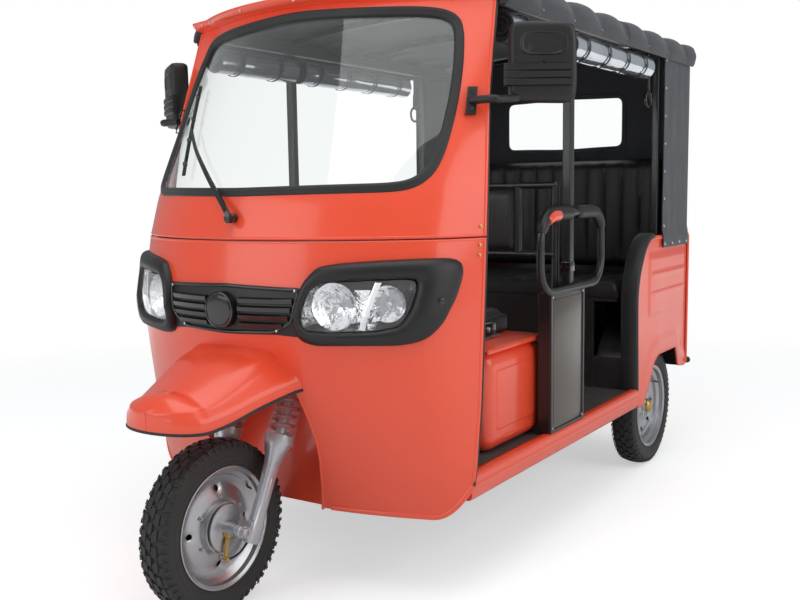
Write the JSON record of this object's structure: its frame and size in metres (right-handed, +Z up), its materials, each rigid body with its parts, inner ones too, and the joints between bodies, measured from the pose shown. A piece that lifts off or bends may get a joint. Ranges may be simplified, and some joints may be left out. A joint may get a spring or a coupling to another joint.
{
  "type": "auto rickshaw",
  "caption": "Three-wheeled passenger auto rickshaw with an open-sided steel cab, canvas roof, raked front fork, driver's seat and rear bench.",
  "frame": {"origin": "on the ground in the middle of the vehicle's length and width", "axes": "+Z up, -Y towards the nose, +X towards the driver's left-hand side"},
  "size_m": [1.5658, 2.6143, 1.756],
  "materials": {
    "body_paint": "gloss",
    "black_paint": "satin",
    "post_paint": "satin",
    "black_plastic": "fine texture",
    "seal_rubber": "matt",
    "mat_rubber": "ribbed, matt",
    "screen_glass": "clear",
    "lamp_glass": "clear over a chrome reflector",
    "canvas": "coated, matt",
    "window_film": "clear film",
    "curtain_film": "rolled clear film",
    "strap_web": "woven",
    "seat_vinyl": "grained vinyl",
    "fork_steel": "silver gloss",
    "spring_red": "gloss",
    "rim_silver": "silver satin",
    "tyre_rubber": "matt",
    "tail_red": "clear red",
    "axle_iron": "painted black",
    "battery_case": "matt"
  },
  "bodies": {
    "vehicle": {"front_panel": "body_paint", "windscreen_panel": "body_paint", "windscreen_seal": "seal_rubber", "windscreen": "screen_glass", "wheel_well": "body_paint", "front_mudguard": "body_paint", "mudguard_edging": "seal_rubber", "lamp_fascia": "black_plastic", "grille": "black_plastic", "headlamps": "lamp_glass", "wiper": "black_plastic", "dashboard": "black_plastic", "chassis_frame": "black_paint", "floor_plate": "black_paint", "floor_mat": "mat_rubber", "sills": "body_paint", "side_posts": "post_paint", "grab_loops": "black_paint", "roof_frame": "black_paint", "canopy": "canvas", "rear_canvas": "canvas", "rear_window": "window_film", "side_curtains": "curtain_film", "hanging_rings": "strap_web", "driver_seat_box": "body_paint", "driver_seat": "seat_vinyl", "hand_brake": "black_plastic", "partition": "black_paint", "driver_backrest": "seat_vinyl", "rear_bench_base": "black_paint", "rear_bench_cushion": "seat_vinyl", "rear_backrest": "seat_vinyl", "quarter_panels": "body_paint", "rear_panel": "body_paint", "door_edging": "seal_rubber", "rear_bumper": "black_paint", "tail_lamps": "tail_red", "door_mirrors": "black_plastic", "battery_pack": "battery_case", "rear_axle": "axle_iron", "leaf_springs": "black_paint"},
    "steering": {"fork": "fork_steel", "fork_springs": "spring_red", "handlebar": "black_paint"},
    "front_wheel": {"front_tyre": "tyre_rubber", "front_rim": "rim_silver"},
    "rear_left_wheel": {"left_tyre": "tyre_rubber", "left_rim": "rim_silver"},
    "rear_right_wheel": {"right_tyre": "tyre_rubber", "right_rim": "rim_silver"}
  },
  "joints": [
    {"name": "steering_turn", "type": "hinge", "parent": "vehicle", "child": "steering", "pos_m": [0, -0.97766, 0.239], "axis": [0, 0.454, 0.891], "range_deg": [-38, 38]},
    {"name": "front_wheel_spin", "type": "hinge", "parent": "steering", "child": "front_wheel", "pos_m": [0, -1.045, 0.239], "axis": [1, 0, 0], "continuous": true},
    {"name": "rear_left_spin", "type": "hinge", "parent": "vehicle", "child": "rear_left_wheel", "pos_m": [0.496, 0.955, 0.239], "axis": [1, 0, 0], "continuous": true},
    {"name": "rear_right_spin", "type": "hinge", "parent": "vehicle", "child": "rear_right_wheel", "pos_m": [-0.496, 0.955, 0.239], "axis": [1, 0, 0], "continuous": true}
  ]
}
